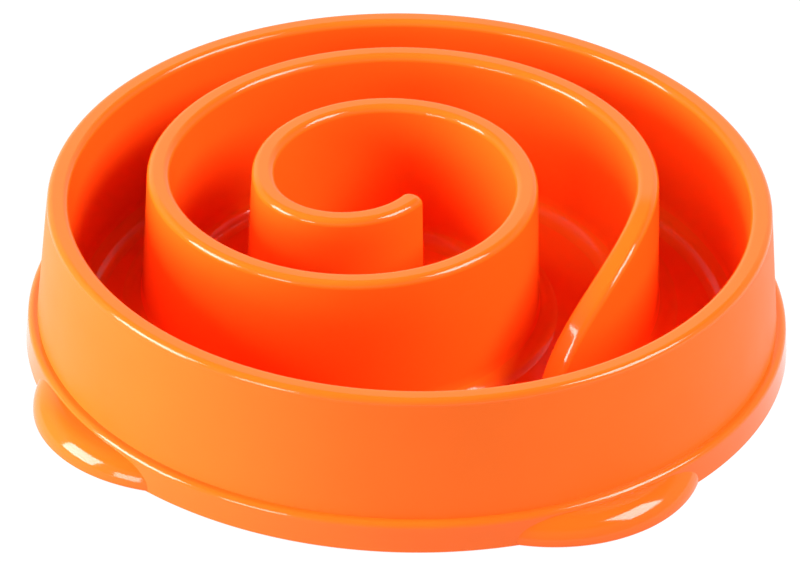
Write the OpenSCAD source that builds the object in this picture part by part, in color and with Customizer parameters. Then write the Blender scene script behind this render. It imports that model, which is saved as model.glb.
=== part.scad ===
// Slow feeder bowl: one thin-walled moulding with a spiral ridge that rises from
// the floor of the bowl to the height of its rim, on four soft feet.
// The underside is open, so the rim and the ridge are hollow from below.
// Origin: on the ground, under the middle of the bowl. Z is up.

/* [Bowl] */
// Diameter of the skirt at its bottom edge
base_d = 292; // [240:1:320]
// Height of the moulding, from its bottom edge to the rim
bowl_h = 62; // [50:1:80]
// How far the rim's outer edge stands in from the skirt's bottom edge
rim_set = 8; // [6:0.5:16]
// Width of the rim's top
rim_w = 8.2; // [7:0.1:12]
// Rounding of the rim's edges
rim_round = 2.4; // [1:0.1:3]
// Thickness of every wall
wall_t = 2.5; // [1.5:0.1:3]
// Height of the food side of the floor above the bottom edge
floor_h = 4.4; // [3:0.1:10]
// Thickness of the floor
floor_t = 2.4; // [1.5:0.1:3]
// Draft of the walls on the food side, in degrees
inner_draft = 2; // [1:0.1:4]
// Fillet where the bowl's wall meets the floor
wall_fillet = 9; // [3:0.5:12]

/* [Band round the base] */
// Height of the band
band_h = 12; // [8:0.5:20]
// How far the band steps in from its bottom edge to its top edge
band_lean = 0.6; // [0.2:0.1:2]
// How far the wall stands back from the band's top edge
ledge_w = 3.7; // [3:0.1:6]
// Rounding of the band's top edge
ledge_round = 2.4; // [0.5:0.1:2.8]

/* [Spiral ridge] */
// Width of the ridge's top
ridge_w = 8.7; // [8:0.1:10]
// Rounding of the ridge's top edges
ridge_round = 2.7; // [1:0.1:3.5]
// Draft of the ridge's faces, in degrees
ridge_draft = 1.5; // [1:0.1:3]
// Fillet where the ridge meets the floor
ridge_fillet = 7.5; // [3:0.5:9]
// From the rim's inner edge to the middle of the ridge, at the start of its first turn
ridge_set = 41.3; // [38:0.1:50]
// Length of the outer end that slopes down to the floor
ramp_len = 75; // [60:1:84]

/* [Feet] */
// Radius of each foot lobe, a round disc that stands out under the band
lobe_r = 57.8; // [54:0.1:60]
// How far a lobe stands out from the bottom edge
lobe_out = 10.9; // [8:0.1:14]
// Height of a lobe, which is also the rounding of its edge
lobe_h = 9.6; // [8:0.1:11]
// Length of a foot pad
pad_l = 32; // [24:0.5:36]
// Width of a foot pad
pad_w = 15; // [12:0.5:16]
// Thickness of a foot pad
pad_t = 4; // [3:0.1:4.5]
// How far the pads stand out below the moulding
pad_proud = 1; // [0.5:0.1:1.5]
// Diameter of the two stems on each pad
stem_d = 5; // [3:0.5:6]
// Height of a stem
stem_h = 3; // [2:0.1:3]
// Gap between a pad and its pocket
pad_gap = 0.3; // [0.1:0.05:0.5]
// Gap between a stem and its hole
stem_gap = 0.1; // [0.05:0.05:0.2]

/* [Hidden] */
$fn = 96;

// Overrun of every cut, and the depth to which pieces of the moulding sink into each other
over = ledge_round / 4;
// Steps in a quarter turn of a rounded edge
quarter_steps = 6;
// The lobes stand at these angles
lobe_angles = [-45, 45, 135, 225];
lobe_count = 4;

base_z = pad_proud;
top_z = base_z + bowl_h;
floor_z = base_z + floor_h;
under_z = floor_z - floor_t;
ledge_z = base_z + band_h;
base_r = base_d / 2;
band_r = base_r - band_lean;
foot_r = band_r - ledge_w;
rim_r = base_r - rim_set;
rim_in_r = rim_r - rim_w;
ridge_r = rim_in_r - ridge_set;
lobe_c = base_r + lobe_out - lobe_r;
// The lobes end a little above the bottom edge of the skirt
lobe_lift = pad_proud / 3;

// The inner face of the bowl's wall leans in towards the floor
function basin_r(z) = rim_in_r - (top_z - z) * tan(inner_draft);
// The outer face of the wall leans out towards the ledge
outer_lean = (foot_r - rim_r) / (top_z - ledge_z);
function skirt_r(z) = rim_r + (top_z - z) * outer_lean;

// Points of an arc from angle a to angle b
function arc_points(x, y, r, a, b, steps = quarter_steps) =
    [for (i = [0 : steps]) [x + r * cos(a + (b - a) * i / steps), y + r * sin(a + (b - a) * i / steps)]];

// The ridge: each turn is a list of its radius as a share of the first one, and its sweep in degrees.
// The arcs run on from each other, so the next centre lies on the line from the last one to their joint.
ridge_turns_shares = [
    [1, 63],
    [1.08, 107],
    [0.85, 87],
    [0.77, 138],
    [0.558, 166],
    [0.325, 76],
    [0.37, 57]
];
turn_count = len(ridge_turns_shares);
// Where the first arc starts, at the top of the slope, and the place of its centre
ridge_start = 5;
ridge_centre_shares = [-0.018, 0.209];
ridge_centre = [ridge_centre_shares[0] * ridge_r, ridge_centre_shares[1] * ridge_r];
function turn_r(i) = ridge_turns_shares[i][0] * ridge_r;
function turn_from(i) = i == 0 ? ridge_start : turn_from(i - 1) + ridge_turns_shares[i - 1][1];
function turn_centre(i) = i == 0
    ? ridge_centre
    : turn_centre(i - 1)
        + (turn_r(i - 1) - turn_r(i)) * [cos(turn_from(i)), sin(turn_from(i))];
ridge_end = turn_from(turn_count);

ridge_h = bowl_h - floor_h;
// The fillet dips a little below the floor, so that it meets it at a slight angle
fillet_dip = ridge_fillet / 60;
wall_dip = wall_fillet / 60;
// The slope runs on a wider arc than the first turn
ramp_share = 1.05;
ramp_r = ramp_share * ridge_r;
ramp_centre = ridge_centre + (ridge_r - ramp_r) * [cos(ridge_start), sin(ridge_start)];
ramp_turn = ramp_len / ramp_r * 180 / PI;

// Half of the ridge's section at a place where it is h high: points from the foot up to the top's edge.
// x is measured from the middle of the ridge, y from the food side of the floor.
// The top's edge gets rounder as the round end turns.
edge_steps = 3;
round_share = 0.4;
fillet_share = 0.5;
nose_round_share = 0.48;
function edge_round(turn) = ridge_round + (nose_round_share * ridge_w - ridge_round) * sin(turn);
function half_section(h, turn) =
    let (top = min(edge_round(turn), h * round_share),
        foot = min(ridge_fillet, h * fillet_share),
        half_w = ridge_w / 2 + (ridge_h - h) * tan(ridge_draft),
        foot_w = ridge_w / 2 + ridge_h * tan(ridge_draft))
    concat(
        [[foot_w + foot, -floor_t / 2]],
        arc_points(foot_w + foot, foot - fillet_dip, foot, 270, 180, edge_steps),
        arc_points(half_w - top, h - top, top, 0, 90, edge_steps));
function mirrored(points) = [for (i = [len(points) - 1 : -1 : 0]) [-points[i][0], points[i][1]]];
function section(h, turn) = concat(half_section(h, turn), mirrored(half_section(h, turn)));

// Half of the hollow inside the ridge, which is open below the floor
groove_w = ridge_w - 2 * wall_t;
function half_groove(h) =
    [[groove_w / 2 + (ridge_h + floor_t) * tan(ridge_draft), -floor_t - over],
        [groove_w / 2 + (ridge_h - h) * tan(ridge_draft), max(h - wall_t, -floor_t)]];
function groove(h) = concat(half_groove(h), mirrored(half_groove(h)));

// Stations along the ridge, from its outer end to its inner end. Each holds the centre and the radius
// of its arc, its angle, the ridge's height there, and the turn of the round end, in degrees.
ramp_steps = 11;
ramp_fall = 88;
nose_steps = 4;
nose_turn = 80;
step_angle = 8;
ramp_stations = [for (k = [ramp_steps : -1 : 1])
    let (a = ramp_fall * k / ramp_steps)
    [ramp_centre, ramp_r, ridge_start - ramp_turn * sin(a), ridge_h * cos(a), 0]];
turn_stations = [for (i = [0 : turn_count - 1])
    let (n = ceil(ridge_turns_shares[i][1] / step_angle))
    for (k = [0 : n - 1])
        [turn_centre(i), turn_r(i), turn_from(i) + ridge_turns_shares[i][1] * k / n, ridge_h, 0]];
nose_stations = [for (k = [0 : nose_steps])
    [turn_centre(turn_count - 1), turn_r(turn_count - 1), ridge_end, ridge_h, nose_turn * k / nose_steps]];
stations = concat(ramp_stations, turn_stations, nose_stations);

// The point of a section that stands at a station
function placed(s, p) =
    let (across = [cos(s[2]), sin(s[2])],
        along = [-across[1], across[0]],
        at = s[0] + (s[1] + p[0] * cos(s[4])) * across + abs(p[0]) * sin(s[4]) * along)
    [at[0], at[1], floor_z + p[1]];

module swept(rings) {
    last = len(rings) - 1;
    n = len(rings[0]);
    sides = [for (k = [0 : last - 1]) for (j = [0 : n - 1])
        let (a = k * n + j, b = k * n + (j + 1) % n)
        each [[a, b, b + n], [a, b + n, a + n]]];
    // Each end is closed by strips that join the two halves of its ring
    strips = [for (j = [0 : n / 2 - 2]) [j, j + 1, n - 2 - j, n - 1 - j]];
    first_end = [for (q = strips) each [[q[2], q[1], q[0]], [q[3], q[2], q[0]]]];
    last_end = [for (q = strips)
        let (r = [for (v = q) v + last * n])
        each [[r[0], r[1], r[2]], [r[0], r[2], r[3]]]];
    polyhedron(points = [for (ring = rings) each ring], faces = concat(first_end, sides, last_end),
        convexity = 8);
}
module ridge() {
    swept([for (s = stations) [for (p = section(s[3], s[4])) placed(s, p)]]);
}
module ridge_groove() {
    swept([for (s = stations) if (s[3] > ridge_h / 4) [for (p = groove(s[3])) placed(s, p)]]);
}

// Outer form of the bowl with its food side: band, wall, rim, inner wall and floor
module bowl_section() {
    inner_top = basin_r(top_z - rim_round);
    polygon(concat(
        [[0, floor_z], [0, base_z], [base_r, base_z]],
        arc_points(band_r - ledge_round, ledge_z - ledge_round, ledge_round, 0, 90),
        [[foot_r, ledge_z]],
        arc_points(rim_r - rim_round, top_z - rim_round, rim_round, 0, 90),
        arc_points(inner_top + rim_round, top_z - rim_round, rim_round, 90, 180),
        arc_points(basin_r(floor_z) - wall_fillet, floor_z + wall_fillet - wall_dip, wall_fillet, 0, -90)));
}
// The hollow under the floor and up inside the wall
module hollow_section() {
    hollow_top = top_z - wall_t;
    under_corner = basin_r(floor_z) + wall_t;
    polygon(concat(
        [[0, base_z - over], [0, under_z], [under_corner - wall_fillet, under_z]],
        arc_points(under_corner - wall_fillet, under_z + wall_fillet, wall_fillet, 270, 360),
        [[basin_r(hollow_top) + wall_t, hollow_top], [skirt_r(hollow_top) - wall_t, hollow_top]],
        [[skirt_r(ledge_z) - wall_t, ledge_z - wall_t], [band_r - wall_t, ledge_z - 2 * wall_t]],
        [[base_r - wall_t, base_z - over]]));
}

// A lobe is a disc with a fully rounded edge
module lobe_disc(r, h) {
    rotate_extrude()
        polygon(concat([[0, 0], [r, 0]], arc_points(r - h, 0, h, 0, 90), [[0, h]]));
}
module at_lobe(i) {
    rotate([0, 0, lobe_angles[i]])
        children();
}
module at_pads(i) {
    at_lobe(i)
        translate([pad_r, 0, 0])
            rotate([0, 0, 90])
                children();
}
pad_r = base_r - pad_w / 5;
// Outline of a pad: a bar with round ends
module bar(l, w, h) {
    points = concat(
        arc_points((l - w) / 2, 0, w / 2, -90, 90, 2 * quarter_steps),
        arc_points(-(l - w) / 2, 0, w / 2, 90, 270, 2 * quarter_steps));
    linear_extrude(height = h)
        polygon(points);
}
stem_x = (pad_l - pad_w) / 2;
module stems(d, h) {
    for (side = [-1, 1])
        translate([side * stem_x, 0, 0])
            cylinder(d = d, h = h);
}

// Only the part of a disc outside the band stays
module lobes() {
    for (i = [0 : lobe_count - 1])
        difference() {
            at_lobe(i)
                translate([lobe_c, 0, base_z + lobe_lift])
                    lobe_disc(lobe_r, lobe_h);
            cylinder(r = band_r - 2 * wall_t, h = top_z);
        }
}
// The hollow of a lobe runs on into the hollow under the rim
module lobe_hollows() {
    for (i = [0 : lobe_count - 1])
        difference() {
            at_lobe(i)
                translate([lobe_c, 0, base_z - over])
                    lobe_disc(lobe_r - wall_t, lobe_h - wall_t + over);
            cylinder(r = basin_r(floor_z) + wall_t, h = top_z);
        }
}
// Each pad sits in a pocket in a block under its lobe
module pad_blocks() {
    for (i = [0 : lobe_count - 1])
        intersection() {
            at_pads(i)
                translate([0, 0, base_z])
                    bar(pad_l + 2 * wall_t, pad_w + 2 * wall_t, lobe_h - wall_t / 2);
            at_lobe(i)
                translate([lobe_c, 0, base_z])
                    lobe_disc(lobe_r - over, lobe_h);
        }
}
module pad_pockets() {
    for (i = [0 : lobe_count - 1])
        at_pads(i) {
            translate([0, 0, base_z - over])
                bar(pad_l + 2 * pad_gap, pad_w + 2 * pad_gap, pad_t - base_z + over);
            translate([0, 0, pad_t - over])
                stems(stem_d + 2 * stem_gap, stem_h + stem_gap + over);
        }
}

module bowl_moulding() {
    color("darkorange")
        difference() {
            union() {
                difference() {
                    union() {
                        rotate_extrude()
                            bowl_section();
                        lobes();
                    }
                    rotate_extrude()
                        hollow_section();
                    lobe_hollows();
                }
                pad_blocks();
                ridge();
            }
            pad_pockets();
            ridge_groove();
        }
}

module foot_pad(i) {
    color("dimgray")
        at_pads(i) {
            bar(pad_l, pad_w, pad_t);
            translate([0, 0, pad_t - over])
                stems(stem_d, stem_h + over);
        }
}

bowl_moulding();
foot_pad(0);  // foot_pad_front_right
foot_pad(1);  // foot_pad_back_right
foot_pad(2);  // foot_pad_back_left
foot_pad(3);  // foot_pad_front_left
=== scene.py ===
# %% [markdown]
# # A slow feeder bowl with a spiral ridge
# The real bowl is one thin injection moulding in orange polypropylene. Its wall, rim and ridge are hollow
# from below. Four rubber pads sit under round lobes that stand out from the band at its foot.
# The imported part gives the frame, in metres. Its solids are right in shape, but their round edges are
# coarse, so the moulding is modelled again here with finer edges. The pads keep their solids.

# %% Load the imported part
import math

import bmesh
import bpy
from mathutils import Matrix, Vector


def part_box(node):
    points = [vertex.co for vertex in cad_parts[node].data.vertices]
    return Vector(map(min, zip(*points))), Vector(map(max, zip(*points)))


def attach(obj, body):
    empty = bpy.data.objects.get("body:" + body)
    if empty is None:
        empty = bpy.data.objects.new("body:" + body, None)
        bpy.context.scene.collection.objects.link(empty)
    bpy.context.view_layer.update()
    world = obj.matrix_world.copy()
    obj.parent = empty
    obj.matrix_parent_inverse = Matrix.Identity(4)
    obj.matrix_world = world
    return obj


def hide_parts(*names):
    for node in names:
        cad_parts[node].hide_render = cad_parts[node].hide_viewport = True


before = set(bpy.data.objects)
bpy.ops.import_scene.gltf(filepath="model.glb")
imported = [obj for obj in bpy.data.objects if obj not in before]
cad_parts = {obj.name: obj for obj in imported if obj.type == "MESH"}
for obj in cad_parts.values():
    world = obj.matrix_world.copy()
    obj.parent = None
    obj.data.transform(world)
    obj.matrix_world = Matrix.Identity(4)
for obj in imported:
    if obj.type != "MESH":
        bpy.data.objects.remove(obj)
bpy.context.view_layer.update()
MM = 0.001
moulding_low, moulding_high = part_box("bowl_moulding")
base_r = moulding_high[0] / MM
base_z = moulding_low[2] / MM
top_z = moulding_high[2] / MM
print("base radius", round(base_r, 2), "mm, from", round(base_z, 2), "to", round(top_z, 2), "mm high")

# %% [markdown]
# ## The camera
# The bowl was photographed from far away with a long lens, so its circles are almost true ellipses. A
# camera could be aimed with a Track To constraint. Here its place is worked out as a photographer would
# say it: how far round, how high, how far away and how tilted. So each of these can be set by itself.
# Angles are in degrees and lengths in millimetres.

# %% Camera
SHOT = {"round": 11.94, "up": 33.03, "away": 3074.6, "roll": 1.375, "right": -3.03, "raise": 20.4}
LENS, SENSOR = 360, 36


def direction(round_deg, up_deg):
    """Unit vector from the bowl to a place: degrees to the right of the front, and degrees up."""
    a, e = math.radians(round_deg), math.radians(up_deg)
    return Vector((math.sin(a) * math.cos(e), -math.cos(a) * math.cos(e), math.sin(e)))


back = direction(SHOT["round"], SHOT["up"])
across = direction(SHOT["round"] + 90, 0)
upwards = back.cross(across)
eye = (back * SHOT["away"] + across * SHOT["right"] + upwards * SHOT["raise"]) * MM
eye.z += base_z * MM
turn = Matrix((across, upwards, back)).transposed() @ Matrix.Rotation(math.radians(SHOT["roll"]), 3, "Z")
camera_data = bpy.data.cameras.new("camera")
camera_data.lens, camera_data.sensor_width = LENS, SENSOR
camera_data.clip_end = 2 * SHOT["away"] * MM
camera = bpy.data.objects.new("camera", camera_data)
camera.matrix_world = Matrix.Translation(eye) @ turn.to_4x4()
bpy.context.collection.objects.link(camera)
bpy.context.scene.camera = camera
print("camera at", [round(v, 3) for v in eye])

# %% [markdown]
# ## Tools for the mesh work
# Outlines are drawn in millimetres. A round corner has a very short first and last step, so that the
# smooth shading of the flat wall beside it isn't bent by the corner.
# An operator acts on all that is selected, so everything is deselected before a new piece is added.

# %% Round corners
EASE = 0.06


def arc(x, z, r, a, b, steps):
    """Points on an arc from angle a to angle b, in degrees, with a short first and last step."""
    shares = [0, EASE / steps] + [i / steps for i in range(1, steps)] + [1 - EASE / steps, 1]
    angles = [math.radians(a + (b - a) * s) for s in shares]
    return [(x + r * math.cos(t), z + r * math.sin(t)) for t in angles]


print("a quarter round in 8 steps has", len(arc(0, 0, 1, 0, 90, 8)), "points")

# %% Selecting and editing
# Points nearer to each other than this become one.
MERGE = 0.001


def only(piece):
    """Makes one piece the active and only selected one."""
    bpy.ops.object.select_all(action="DESELECT")
    piece.select_set(True)
    bpy.context.view_layer.objects.active = piece


def edit(piece, select="SELECT"):
    """Opens one piece in edit mode, with all or nothing of it selected."""
    only(piece)
    bpy.ops.object.mode_set(mode="EDIT")
    bpy.ops.mesh.select_all(action=select)


def done(piece):
    """Merges doubles, turns all faces outwards and leaves edit mode."""
    bpy.ops.mesh.select_all(action="SELECT")
    bpy.ops.mesh.remove_doubles(threshold=MERGE * MM)
    bpy.ops.mesh.normals_make_consistent(inside=False)
    bpy.ops.object.mode_set(mode="OBJECT")
    return piece


# %% Joining and cutting


def combine(piece, tool, operation):
    """Joins a tool to a piece, or cuts it out, and removes the tool."""
    only(piece)
    step = piece.modifiers.new(operation.lower(), "BOOLEAN")
    step.operation, step.object, step.solver = operation, tool, "MANIFOLD"
    bpy.ops.object.modifier_apply(modifier=step.name)
    bpy.data.objects.remove(tool)
    print(piece.name, operation.lower(), len(piece.data.polygons), "faces")


# %% [markdown]
# ## The bowl without its ridge
# On the real bowl wall, rim, floor and band are round about one axis. A Screw modifier could turn them.
# Spin in edit mode is used, as by hand, because it leaves a plain closed mesh for the cuts that follow.
# One outline gives the food side, the rim, the outer wall, the ledge and the band. A second one gives the
# hollow underneath. The wall is 2.5 mm thick all over, as a moulding has to be to cool evenly.

# %% Sizes of the body
RIM_D, RIM_W, RIM_ROUND = 276, 8.2, 2.4
WALL_T, FLOOR_H, FLOOR_T = 2.5, 4.4, 2.4
INNER_DRAFT, WALL_FILLET = math.tan(math.radians(2)), 9
BAND_H, BAND_LEAN, LEDGE_W, LEDGE_ROUND = 12, 0.6, 3.7, 2.4

rim_r = RIM_D / 2
rim_in_r = rim_r - RIM_W
floor_z = base_z + FLOOR_H
under_z = floor_z - FLOOR_T
ledge_z = base_z + BAND_H
band_r = base_r - BAND_LEAN
foot_r = band_r - LEDGE_W


def basin_r(z):
    """The inner wall leans in towards the floor."""
    return rim_in_r - (top_z - z) * INNER_DRAFT


def skirt_r(z):
    """The outer wall leans out towards the ledge."""
    return rim_r + (top_z - z) * (foot_r - rim_r) / (top_z - ledge_z)


print("wall", rim_r, "mm from the axis at the rim and", round(foot_r, 2), "mm at the ledge")

# %% Outline of the outside and the food side
ROUND_STEPS = 8
inner_top = basin_r(top_z - RIM_ROUND)
outer_outline = (
    [(0, base_z), (base_r, base_z)]
    + arc(band_r - LEDGE_ROUND, ledge_z - LEDGE_ROUND, LEDGE_ROUND, 0, 90, ROUND_STEPS)
    + [(foot_r, ledge_z)]
    + arc(rim_r - RIM_ROUND, top_z - RIM_ROUND, RIM_ROUND, 0, 90, ROUND_STEPS)
    + arc(inner_top + RIM_ROUND, top_z - RIM_ROUND, RIM_ROUND, 90, 180, ROUND_STEPS)
    + arc(basin_r(floor_z) - WALL_FILLET, floor_z + WALL_FILLET, WALL_FILLET, 0, -90, ROUND_STEPS)
    + [(0, floor_z)]
)
print(len(outer_outline), "points in the outer outline")

# %% Outline of the hollow underneath
# A cutting shape reaches this far past what it cuts, so that no two faces lie in one plane.
OVER = 0.6
hollow_top, corner = top_z - WALL_T, basin_r(floor_z) + WALL_T
hollow_outline = (
    [(0, base_z - OVER), (0, under_z)]
    + arc(corner - WALL_FILLET, under_z + WALL_FILLET, WALL_FILLET, -90, 0, ROUND_STEPS)
    + [
        (basin_r(hollow_top) + WALL_T, hollow_top),
        (skirt_r(hollow_top) - WALL_T, hollow_top),
        (skirt_r(ledge_z) - WALL_T, ledge_z - WALL_T),
        (band_r - WALL_T, ledge_z - 2 * WALL_T),
        (base_r - WALL_T, base_z - OVER),
    ]
)
print(len(hollow_outline), "points in the hollow's outline")

# %% Turn the body
TURN_STEPS = 240


def spun(name, outline, steps):
    """A solid of revolution: an outline as a ring of vertices, spun once round the bowl's axis."""
    bpy.ops.object.select_all(action="DESELECT")
    bpy.ops.mesh.primitive_circle_add(vertices=len(outline), radius=base_r * MM)
    piece = bpy.context.active_object
    piece.name = name
    for vertex, (x, z) in zip(piece.data.vertices, outline):
        vertex.co = Vector((x, 0, z)) * MM
    edit(piece)
    bpy.ops.mesh.spin(steps=steps, angle=2 * math.pi, center=(0, 0, 0), axis=(0, 0, 1))
    return done(piece)


bowl = spun("spiral_bowl", outer_outline, TURN_STEPS)
print("bowl body", len(bowl.data.vertices), "vertices")

# %% [markdown]
# ## The foot lobes
# Each lobe of the real bowl is a disc whose edge is rounded over its whole height. A flattened sphere
# would lean in at the ground, so a cylinder is used and its top edge gets one wide bevel. Only what stands
# outside the band is kept, so a second cylinder cuts the middle out. One lobe is modelled and copied to
# the four diagonals, each copy with its own mesh.

# %% Discs and round edges
LOBE_SIDES, LOBE_STEPS, TOP_MARGIN = 160, 12, 0.01
# A bevel as wide as the piece is high would leave sides of no height, so it stops just short of that.
FULL = 0.999


def disc(name, x, z, r, h, sides=LOBE_SIDES):
    """A cylinder that stands on height z, with its middle x from the bowl's axis."""
    bpy.ops.object.select_all(action="DESELECT")
    bpy.ops.mesh.primitive_cylinder_add(
        vertices=sides, radius=r * MM, depth=h * MM, location=(x * MM, 0, (z + h / 2) * MM))
    piece = bpy.context.active_object
    piece.name = name
    bpy.ops.object.transform_apply(location=True, rotation=True, scale=True)
    return piece


def round_top(piece, r):
    """Bevels the edge round the top of a piece."""
    edit(piece, "DESELECT")
    mesh = bmesh.from_edit_mesh(piece.data)
    top = max(v.co.z for v in mesh.verts)
    for face in mesh.faces:
        if face.calc_center_median().z > top - TOP_MARGIN * MM:
            face.select_set(True)
    bpy.ops.mesh.region_to_loop()
    bpy.ops.mesh.bevel(offset=r * MM, segments=LOBE_STEPS, affect="EDGES", clamp_overlap=False)
    return done(piece)


# %% Lobes
LOBE_R, LOBE_OUT, LOBE_H = 57.8, 10.9, 9.6
DIAGONALS = (-45, 45, 135, 225)
lobe_c = base_r + LOBE_OUT - LOBE_R
# The lobes start a little above the foot of the band, so that the two undersides aren't in one plane.
lobe_z = base_z + base_z / 3


def lobe(name, z, r, h, core):
    """A disc with a round top edge, without its middle round the bowl's axis."""
    piece = round_top(disc(name, lobe_c, z, r, h), FULL * h)
    combine(piece, disc("core", 0, 0, core, top_z, TURN_STEPS), "DIFFERENCE")
    return piece


def on_diagonals(piece):
    """Copies a piece to the four diagonals and joins the copies."""
    copies = []
    for angle in DIAGONALS:
        copy = piece.copy()
        copy.data = piece.data.copy()
        copy.data.transform(Matrix.Rotation(math.radians(angle), 4, "Z"))
        bpy.context.collection.objects.link(copy)
        copies.append(copy)
    bpy.data.objects.remove(piece)
    only(copies[0])
    for copy in copies:
        copy.select_set(True)
    bpy.ops.object.join()
    return copies[0]


lobes = on_diagonals(lobe("lobes", lobe_z, LOBE_R, LOBE_H, band_r - 2 * WALL_T))
print("lobes reach", round(lobe_c + LOBE_R, 1), "mm from the axis")

# %% [markdown]
# ## The spiral ridge
# The ridge of the real bowl follows arcs that run on from each other. Its section has a fillet at each
# foot and a round edge at each side of the top. Its outer end falls to the floor in a quarter round, and
# its inner end is a bull nose. A curve with a bevel profile could follow the arcs, but it keeps one
# section all the way, and so does a spin. So rings of the section are set out along the arcs by a formula,
# and faces are laid between them.

# %% Sizes of the ridge
# Each turn is an arc: its radius as a share of the first one's, and how many degrees it sweeps.
TURNS = ((1, 63), (1.08, 107), (0.85, 87), (0.77, 138), (0.558, 166), (0.325, 76), (0.37, 57))
RIDGE_W, RIDGE_ROUND, RIDGE_DRAFT, RIDGE_FILLET = 8.7, 2.7, math.tan(math.radians(1.5)), 7.5
RIDGE_R, RAMP_LEN, RAMP_SHARE = 88.5, 75, 1.05
# The angle where the ramp reaches full height, and the first arc's centre as shares of its radius.
RIDGE_START, CENTRE_SHARES = 5, (-0.018, 0.209)
NOSE_ROUND = 0.48 * RIDGE_W
ridge_h = top_z - floor_z
print("ridge", round(ridge_h, 2), "mm high,", sum(sweep for share, sweep in TURNS), "degrees round")

# %% The ridge's course
STEP_ANGLE, RAMP_STEPS, NOSE_STEPS = 2.5, 30, 12


def outwards(angle):
    """Unit vector from an arc's centre at an angle in degrees, seen from above."""
    return Vector((math.cos(math.radians(angle)), math.sin(math.radians(angle))))


def course():
    """Stations along the ridge: the arc's centre and radius, the angle, the height and the nose's turn."""
    centre, angle = Vector(CENTRE_SHARES) * RIDGE_R, RIDGE_START
    ramp_r = RAMP_SHARE * RIDGE_R
    ramp_centre = centre + (RIDGE_R - ramp_r) * outwards(angle)
    ramp_turn = math.degrees(RAMP_LEN / ramp_r)
    stations = []
    for k in range(RAMP_STEPS, 0, -1):
        fall = math.pi / 2 * k / RAMP_STEPS
        at, h = angle - ramp_turn * math.sin(fall), ridge_h * math.cos(fall)
        stations.append((ramp_centre, ramp_r, at, h, 0))
    r = RIDGE_R
    for share, sweep in TURNS:
        centre = centre + (r - share * RIDGE_R) * outwards(angle)
        r = share * RIDGE_R
        steps = math.ceil(sweep / STEP_ANGLE)
        stations += [(centre, r, angle + sweep * k / steps, ridge_h, 0) for k in range(steps)]
        angle += sweep
    for k in range(NOSE_STEPS + 1):
        stations.append((centre, r, angle, ridge_h, 90 * k / NOSE_STEPS))
    return stations


stations = course()
# A station's fourth value is the ridge's height there. The low part of the ramp isn't hollow.
GROOVE_FROM = 0.25
groove_stations = [station for station in stations if station[3] > ridge_h * GROOVE_FROM]
print(len(stations), "stations along the ridge,", len(groove_stations), "of them hollow")

# %% Sections of the ridge and of its hollow
EDGE_STEPS, FOOT_STEPS = 7, 7
# The fillet ends a hair above the floor, and an apron runs on under it, so that the two overlap.
APRON, SINK = 1, 0.02
# On the low part of the ramp, the round edges take at most these shares of its height.
EDGE_SHARE, FOOT_SHARE = 0.4, 0.5


def ridge_side(h, nose):
    """Half of the section where the ridge is h high: from the foot up to the edge of the top."""
    edge = RIDGE_ROUND + (NOSE_ROUND - RIDGE_ROUND) * math.sin(math.radians(nose))
    top, foot = min(edge, h * EDGE_SHARE), min(RIDGE_FILLET, h * FOOT_SHARE)
    half_w = RIDGE_W / 2 + (ridge_h - h) * RIDGE_DRAFT
    foot_w = RIDGE_W / 2 + ridge_h * RIDGE_DRAFT
    return (
        [(foot_w + foot + APRON, -FLOOR_T / 2), (foot_w + foot + APRON, -SINK)]
        + arc(foot_w + foot, foot + SINK / 4, foot, 270, 180, FOOT_STEPS)
        + arc(half_w - top, h - top, top, 0, 90, EDGE_STEPS)
    )


def groove_side(h, nose):
    """Half of the hollow inside the ridge, which is open below the floor."""
    half_w = RIDGE_W / 2 - WALL_T
    return [
        (half_w + (ridge_h + FLOOR_T) * RIDGE_DRAFT, -FLOOR_T - OVER),
        (half_w + (ridge_h - h) * RIDGE_DRAFT, max(h - WALL_T, -FLOOR_T)),
    ]


print(len(ridge_side(ridge_h, 0)), "points in half of the ridge's section")

# %% Lay faces between rings


def section_ring(side, station):
    """The section's points at one station, mirrored to both sides and turned into its place."""
    centre, r, angle, h, nose = station
    half = side(h, nose)
    out = outwards(angle)
    along = Vector((-out.y, out.x))
    lean = math.radians(nose)
    ring = []
    for x, z in half + [(-x, z) for x, z in reversed(half)]:
        at = centre + out * (r + x * math.cos(lean)) + along * (abs(x) * math.sin(lean))
        ring.append((at.x * MM, at.y * MM, (floor_z + z) * MM))
    return ring


def swept(name, side, course_stations):
    """Rings of a section joined by faces, and closed by strips across both ends."""
    rings = [section_ring(side, station) for station in course_stations]
    n = len(rings[0])
    faces = []
    for k in range(len(rings) - 1):
        for j in range(n):
            a, b = k * n + j, k * n + (j + 1) % n
            faces.append((a, b, b + n, a + n))
    # The ends: strips between the two halves of the first ring, and of the last one.
    last = (len(rings) - 1) * n
    for j in range(n // 2 - 1):
        faces.append((n - 1 - j, n - 2 - j, j + 1, j))
        faces.append((last + j, last + j + 1, last + n - 2 - j, last + n - 1 - j))
    mesh = bpy.data.meshes.new(name)
    mesh.from_pydata([point for ring in rings for point in ring], [], faces)
    piece = bpy.data.objects.new(name, mesh)
    bpy.context.collection.objects.link(piece)
    edit(piece)
    return done(piece)


ridge = swept("ridge", ridge_side, stations)
ridge_top = max(v.co.z for v in ridge.data.vertices) / MM
print("ridge", len(ridge.data.vertices), "vertices, top at", round(ridge_top, 2), "mm")

# %% [markdown]
# ## Seats for the pads
# Each pad of the real bowl is a soft bar with round ends and two stems, pushed into a pocket under its
# lobe. A bar could be joined from a box and two cylinders. A box whose four upright edges are bevelled
# needs no joining. The same bar, made larger, is the block that holds the pocket.

# %% Pad seats
PAD_L, PAD_W, PAD_T, PAD_GAP = 32, 15, 4, 0.3
STEM_D, STEM_H, STEM_GAP, STEM_SIDES = 5, 3, 0.1, 48
# A pad's middle lies just inside the band, so that the pad reaches under both the band and its lobe.
pad_r = base_r - PAD_W / 5


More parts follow.
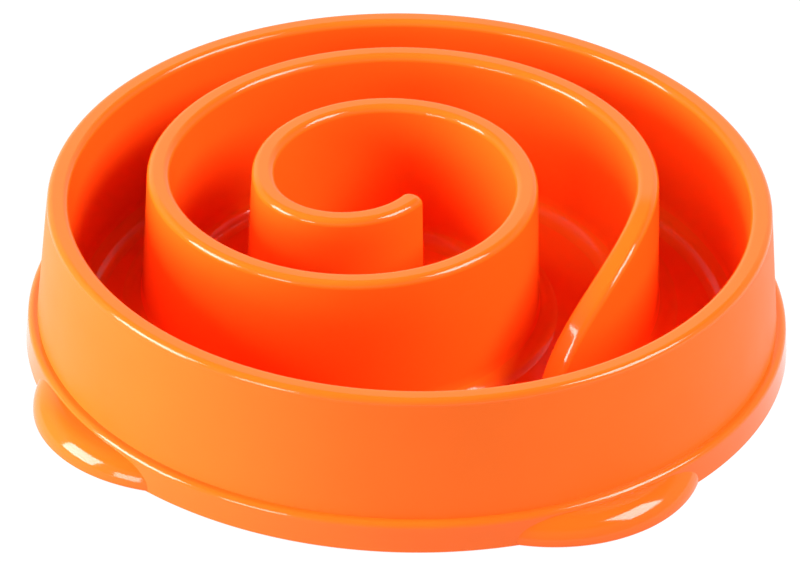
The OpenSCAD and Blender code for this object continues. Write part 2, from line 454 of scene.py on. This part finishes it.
def bar(name, length, width, z, h):
    """A bar with round ends that lies across the x axis at the pads' distance: a box whose upright edges
    are bevelled.
    """
    bpy.ops.object.select_all(action="DESELECT")
    bpy.ops.mesh.primitive_cube_add(
        size=MM, location=(pad_r * MM, 0, (z + h / 2) * MM), scale=(width, length, h))
    piece = bpy.context.active_object
    piece.name = name
    bpy.ops.object.transform_apply(location=True, rotation=True, scale=True)
    edit(piece, "DESELECT")
    mesh = bmesh.from_edit_mesh(piece.data)
    for edge in mesh.edges:
        if abs((edge.verts[0].co - edge.verts[1].co).z) > h / 2 * MM:
            edge.select_set(True)
    bpy.ops.mesh.bevel(offset=FULL * width / 2 * MM, segments=LOBE_STEPS, affect="EDGES")
    return done(piece)


seat = bar("seat", PAD_L + 2 * WALL_T, PAD_W + 2 * WALL_T, base_z, LOBE_H - WALL_T / 2)
under_lobe = disc("under_lobe", lobe_c, base_z - OVER, LOBE_R - OVER, LOBE_H + OVER)
combine(seat, round_top(under_lobe, FULL * LOBE_H), "INTERSECT")
print("seat", len(seat.data.polygons), "faces")

# %% Pockets and stem holes
pocket = bar("pocket", PAD_L + 2 * PAD_GAP, PAD_W + 2 * PAD_GAP, base_z - OVER, PAD_T - base_z + OVER)


def stem_holes():
    """The two holes over one pocket, as one piece."""
    holes = []
    for side in (-1, 1):
        hole = disc("hole", 0, PAD_T - OVER, STEM_D / 2 + STEM_GAP, STEM_H + STEM_GAP + OVER, STEM_SIDES)
        hole.data.transform(Matrix.Translation(Vector((pad_r, side * (PAD_L - PAD_W) / 2, 0)) * MM))
        holes.append(hole)
    only(holes[0])
    holes[1].select_set(True)
    bpy.ops.object.join()
    return holes[0]


stems = stem_holes()
print("pocket", len(pocket.data.polygons), "faces, stem holes", len(stems.data.polygons), "faces")

# %% [markdown]
# ## One moulding
# The parts could be left to overlap, but then walls would stand inside walls, and a real moulding is one
# skin. So all is joined into one closed mesh: lobes on, hollows out, seats on, ridge on, then pockets and
# the ridge's own hollow out. The manifold solver is quick and always leaves a closed mesh, as long as it
# gets closed ones.

# %% Join the moulding
combine(bowl, lobes, "UNION")
combine(bowl, spun("hollow", hollow_outline, TURN_STEPS), "DIFFERENCE")
lobe_hollow = lobe("lobe_hollow", base_z - OVER, LOBE_R - WALL_T, LOBE_H - WALL_T + OVER, corner)
combine(bowl, on_diagonals(lobe_hollow), "DIFFERENCE")
combine(bowl, on_diagonals(seat), "UNION")
combine(bowl, ridge, "UNION")
combine(bowl, on_diagonals(pocket), "DIFFERENCE")
combine(bowl, on_diagonals(stems), "DIFFERENCE")
combine(bowl, swept("groove", groove_side, groove_stations), "DIFFERENCE")

# %% Finish the moulding
SLIVER, SMOOTH_ANGLE = 0.002, 28
edit(bowl)
bpy.ops.mesh.remove_doubles(threshold=SLIVER * MM)
bpy.ops.mesh.dissolve_degenerate(threshold=SLIVER * MM)
bpy.ops.object.mode_set(mode="OBJECT")
bpy.ops.object.shade_smooth_by_angle(angle=math.radians(SMOOTH_ANGLE))
check = bmesh.new()
check.from_mesh(bowl.data)
open_edges = sum(1 for edge in check.edges if len(edge.link_faces) != 2)
check.free()
print("bowl", len(bowl.data.polygons), "faces,", open_edges, "open edges")

# %% [markdown]
# ## Colours and a node helper
# Colours are written as sRGB hex values, as a paint program shows them, and one function turns them to
# linear. One small function adds a node with its settings and links. An input is named as on the node,
# with _ for a space, or by its number, such as _0 for the first.

# %% Material helpers


def linear(hex_colour):
    """An sRGB hex colour as the linear RGBA that Blender's sockets hold."""
    parts = [int(hex_colour[i:i + 2], 16) / 255 for i in (1, 3, 5)]
    return [c / 12.92 if c <= 0.04045 else ((c + 0.055) / 1.055) ** 2.4 for c in parts] + [1]


def add_node(tree, kind, settings=(), **inputs):
    """Adds a node. A setting is an attribute; an input is a value, or a socket to link from."""
    new = tree.nodes.new(kind)
    for key, value in dict(settings).items():
        setattr(new, key, value)
    for key, value in inputs.items():
        socket = new.inputs[int(key[1:])] if key[1:].isdigit() else new.inputs[key.replace("_", " ")]
        if isinstance(value, bpy.types.NodeSocket):
            tree.links.new(value, socket)
        else:
            socket.default_value = value
    return new


def blank(name):
    """A material with only its output, and the output."""
    material = bpy.data.materials.new(name)
    material.use_nodes = True
    material.node_tree.nodes.clear()
    return material, material.node_tree, material.node_tree.nodes.new("ShaderNodeOutputMaterial")


# %% [markdown]
# ## Polypropylene in three finishes
# The plastic is coloured all through, and the steel mould gives it its surface. Where the mould is
# polished, on the rim, the ridge's top, the round edges, the band and the lobes, the plastic mirrors the
# lamps in crisp streaks. On the outer wall the mould is grained, which breaks the mirror image into a soft
# sheen. The walls and the floor of the food side are etched, almost without mirror images, so they show
# the deep colour that light takes on between orange walls. Their orange is also painted redder and deeper
# than the outer wall's: painted shade, with extra red as painted light in their shadows.
# One material could hold all three, but nodes would then have to work out which face is which. A slot is
# assigned to faces as by hand. Polypropylene's index of refraction is 1.49, and the specular level sets how
# much of its mirror each finish leaves. A slow unevenness, as moulded walls have, keeps the streaks from
# being ruler-straight. Real grain is about 0.1 mm wide. It is drawn at 0.55 mm, so that it shows.

# %% Plastic
PP_IOR = 1.49
WAVE_MM, WAVE_HEIGHT, WAVE_STRENGTH, WAVE_DETAIL = 30, 0.12, 0.5, 2.0
GRAIN_MM, GRAIN_DETAIL, GRAIN_ROUGHNESS = 0.55, 3.0, 0.6
SMOOTHEST, ROUGHEST = 0.85, 1.15


def plastic(name, orange, orange_deep, roughness, grain, mirror):
    """A moulded finish: its two close oranges, its roughness, its grain's height and its mirror's level."""
    material, tree, output = blank(name)
    place = add_node(tree, "ShaderNodeTexCoord").outputs["Object"]
    wave = add_node(
        tree, "ShaderNodeTexNoise", Vector=place, Scale=1 / (WAVE_MM * MM), Detail=WAVE_DETAIL)
    fine = add_node(
        tree, "ShaderNodeTexNoise", Vector=place, Scale=1 / (GRAIN_MM * MM), Detail=GRAIN_DETAIL,
        Roughness=GRAIN_ROUGHNESS)
    tint = add_node(
        tree, "ShaderNodeMix", {"data_type": "RGBA"}, _0=wave.outputs["Fac"],
        _6=linear(orange), _7=linear(orange_deep))
    polish = add_node(
        tree, "ShaderNodeMapRange", Value=wave.outputs["Fac"],
        To_Min=roughness * SMOOTHEST, To_Max=roughness * ROUGHEST)
    slow = add_node(
        tree, "ShaderNodeBump", Height=wave.outputs["Fac"], Distance=WAVE_HEIGHT * MM,
        Strength=WAVE_STRENGTH)
    bump = add_node(
        tree, "ShaderNodeBump", Height=fine.outputs["Fac"], Distance=grain * MM, Strength=1.0,
        Normal=slow.outputs["Normal"])
    shader = add_node(
        tree, "ShaderNodeBsdfPrincipled", Base_Color=tint.outputs[2], Roughness=polish.outputs[0],
        IOR=PP_IOR, Specular_IOR_Level=mirror, Normal=bump.outputs["Normal"])
    tree.links.new(shader.outputs[0], output.inputs[0])
    return material


# The grained orange is the plastic's own. The polished orange has a little more red, as painted light in
# its shaded round edges. The etched orange is redder and deeper, as painted shade for the channels, with
# extra red as painted light in their shadows.
FINISHES = (
    plastic("polished_polypropylene_painted_light", "#FB6A19", "#FB6616", 0.1, 0.001, 0.36),
    plastic("grained_polypropylene", "#F66A19", "#F66616", 0.42, 0.035, 0.24),
    plastic("etched_polypropylene_painted_shade", "#FD6117", "#FD5D14", 0.2, 0.004, 0.03),
)
print([finish.name for finish in FINISHES])

# %% [markdown]
# ### Which face has which finish
# Faces are chosen by their place and by the way they face, as if picked by hand, and the slot is assigned
# to the selection. The slots are numbered from 0, and all that isn't chosen stays polished.

# %% Assign the finishes
POLISHED, GRAINED, ETCHED = 0, 1, 2
# Limits for a face's normal. The fillet at the foot of a wall counts as wall as long as it is steep.
FACING_OUT, UPRIGHT, STEEP, LEVEL = 0.6, 0.06, 0.4, 0.9999
BELOW_FLOOR, ABOVE_FLOOR = 0.1, 1


def finish_of(face):
    """Grained on the outer wall, etched on the food side's walls and floor, else polished."""
    middle = face.calc_center_median() / MM
    r = math.hypot(middle.x, middle.y)
    facing = (middle.x * face.normal.x + middle.y * face.normal.y) / max(r, 1)
    if r > rim_r - RIM_ROUND and facing > FACING_OUT and ledge_z < middle.z < top_z - RIM_ROUND:
        return GRAINED
    if r >= rim_in_r or middle.z <= floor_z - BELOW_FLOOR:
        return POLISHED
    near_foot = middle.z < floor_z + WALL_FILLET
    wall = abs(face.normal.z) < (STEEP if near_foot else UPRIGHT)
    bottom = face.normal.z > LEVEL and middle.z < floor_z + ABOVE_FLOOR
    return ETCHED if wall or bottom else POLISHED


bowl.data.materials.clear()
for finish in FINISHES:
    bowl.data.materials.append(finish)
for index in (GRAINED, ETCHED):
    edit(bowl, "DESELECT")
    mesh = bmesh.from_edit_mesh(bowl.data)
    for face in mesh.faces:
        if finish_of(face) == index:
            face.select_set(True)
    bowl.active_material_index = index
    bpy.ops.object.material_slot_assign()
    bpy.ops.object.mode_set(mode="OBJECT")
for index, finish in enumerate(FINISHES):
    print(finish.name, sum(1 for p in bowl.data.polygons if p.material_index == index), "faces")

# %% The bowl in the frame
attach(bowl, "root")
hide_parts("bowl_moulding")
print(bowl.name, "stands for bowl_moulding")

# %% [markdown]
# ## Rubber pads
# The pads are a thermoplastic rubber: dark, matt and slightly uneven from its mould. A plain dark colour
# would look like a hole, so fine noise varies the colour and gives a slight bump.

# %% Rubber
RUBBER, RUBBER_WORN, RUBBER_ROUGHNESS = "#1E1E1F", "#2C2B2A", 0.8
SPECK_MM, SPECK_HEIGHT, SPECK_DETAIL = 0.8, 0.05, 4.0
rubber, tree, output = blank("moulded_rubber")
place = add_node(tree, "ShaderNodeTexCoord").outputs["Object"]
speck = add_node(
    tree, "ShaderNodeTexNoise", Vector=place, Scale=1 / (SPECK_MM * MM), Detail=SPECK_DETAIL)
tint = add_node(
    tree, "ShaderNodeMix", {"data_type": "RGBA"}, _0=speck.outputs["Fac"],
    _6=linear(RUBBER), _7=linear(RUBBER_WORN))
bump = add_node(tree, "ShaderNodeBump", Height=speck.outputs["Fac"], Distance=SPECK_HEIGHT * MM)
shader = add_node(
    tree, "ShaderNodeBsdfPrincipled", Base_Color=tint.outputs[2], Roughness=RUBBER_ROUGHNESS,
    Normal=bump.outputs["Normal"])
tree.links.new(shader.outputs[0], output.inputs[0])
for name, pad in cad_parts.items():
    if name.startswith("foot_pad"):
        pad.data.materials.clear()
        pad.data.materials.append(rubber)
        print(name, "in rubber")

# %% [markdown]
# ## Floor and room
# The bowl stands on a white sweep, as in a product photograph. A floor of white paint would throw much
# light up at the outer wall and wash its colour out. So the floor is a grey for the light that bounces off
# it, and the camera and mirror reflections see it mostly as a white glow. The rest of what they see is the
# grey paint, which keeps the bowl's shadow.
# The room is a plain grey that is dark overhead, so that the channels stay deep in colour. It is brighter
# low down behind the bowl, which gives the haze on the flat tops and the sheen at the outer wall's edges.

# %% Floor
FLOOR_SIZE, FLOOR_GREY, WHITE = 12, "#A0A0A0", "#FFFFFF"
GLOW_STRENGTH, GLOW_SHARE = 1.16, 0.85
bpy.ops.object.select_all(action="DESELECT")
bpy.ops.mesh.primitive_plane_add(size=FLOOR_SIZE, location=(0, 0, 0))
floor = bpy.context.active_object
floor.name = "floor"
white, tree, output = blank("white_floor")
matt = add_node(tree, "ShaderNodeBsdfDiffuse", Color=linear(FLOOR_GREY))
glow = add_node(tree, "ShaderNodeEmission", Color=linear(WHITE), Strength=GLOW_STRENGTH)
path = add_node(tree, "ShaderNodeLightPath")
sight = add_node(
    tree, "ShaderNodeMath", {"operation": "MAXIMUM"},
    _0=path.outputs["Is Camera Ray"], _1=path.outputs["Is Glossy Ray"])
seen = add_node(tree, "ShaderNodeMath", {"operation": "MULTIPLY"}, _0=sight.outputs[0], _1=GLOW_SHARE)
mixed = add_node(tree, "ShaderNodeMixShader", _0=seen.outputs[0], _1=matt.outputs[0], _2=glow.outputs[0])
tree.links.new(mixed.outputs[0], output.inputs[0])
floor.data.materials.append(white)
print("floor", FLOOR_SIZE, "m wide")

# %% Room
ROOM_SIDES, ROOM_CEILING, ROOM_REAR = 0.43, 0.09, 2.3
# Where the sides fade to the ceiling, as heights of a unit vector, and how squarely the rear is faced.
ROOM_TOP, REAR_EDGE = (0.53, 0.67), (0.6, 0.85)
world = bpy.data.worlds.new("studio")
bpy.context.scene.world = world
world.use_nodes = True
world.node_tree.nodes.clear()
tree = world.node_tree
way = add_node(tree, "ShaderNodeTexCoord").outputs["Generated"]
rise = add_node(tree, "ShaderNodeSeparateXYZ", Vector=way)
sides = add_node(
    tree, "ShaderNodeMapRange", {"interpolation_type": "SMOOTHSTEP"}, Value=rise.outputs["Z"],
    From_Min=ROOM_TOP[0], From_Max=ROOM_TOP[1], To_Min=ROOM_SIDES, To_Max=ROOM_CEILING)
rear = add_node(
    tree, "ShaderNodeVectorMath", {"operation": "DOT_PRODUCT"}, _0=way,
    _1=direction(SHOT["round"] + 180, 0))
gap = add_node(
    tree, "ShaderNodeMapRange", {"interpolation_type": "SMOOTHSTEP"}, Value=rear.outputs["Value"],
    From_Min=REAR_EDGE[0], From_Max=REAR_EDGE[1], To_Min=1.0, To_Max=ROOM_REAR)
level = add_node(tree, "ShaderNodeMath", {"operation": "MULTIPLY"}, _0=sides.outputs[0], _1=gap.outputs[0])
path = add_node(tree, "ShaderNodeLightPath")
room = add_node(tree, "ShaderNodeBackground", Color=linear(WHITE), Strength=level.outputs[0])
plain = add_node(tree, "ShaderNodeBackground", Color=linear(WHITE), Strength=1.0)
mixed = add_node(
    tree, "ShaderNodeMixShader", _0=path.outputs["Is Camera Ray"], _1=room.outputs[0], _2=plain.outputs[0])
add_node(tree, "ShaderNodeOutputWorld", Surface=mixed.outputs[0])
print("room", ROOM_SIDES, "at the sides,", ROOM_CEILING, "overhead")

# %% [markdown]
# ## Lamps
# The photograph's highlights show where its soft boxes stood: one on the left, one high on the right and
# a low one at the front left. Spot lamps would give hard shadows, so area lamps are used. The fourth lamp
# stands for the light that a white wall on the left throws back, and has no mirror image of its own.

# %% Lamps
LAMP_AWAY = 1.6


def lamp(name, round_deg, up_deg, width, height, watts):
    """A soft box that faces the bowl, placed as the camera is: degrees round and up. Sizes in metres."""
    data = bpy.data.lights.new(name, "AREA")
    data.shape, data.size, data.size_y, data.energy = "RECTANGLE", width, height, watts
    box = bpy.data.objects.new(name, data)
    place = direction(round_deg, up_deg) * LAMP_AWAY
    box.matrix_world = Matrix.Translation(place) @ place.to_track_quat("Z", "Y").to_matrix().to_4x4()
    bpy.context.collection.objects.link(box)
    print(name, watts, "W")
    return box


lamp("left_box", -67, 19, 0.78, 0.8, 38)
lamp("left_bounce", -98, 40, 1.1, 1.1, 16).visible_glossy = False
lamp("right_box", 90, 42, 0.8, 0.74, 30)
lamp("low_box", -28, 6, 0.5, 0.66, 13)
bpy.context.scene.view_settings.view_transform = "Standard"
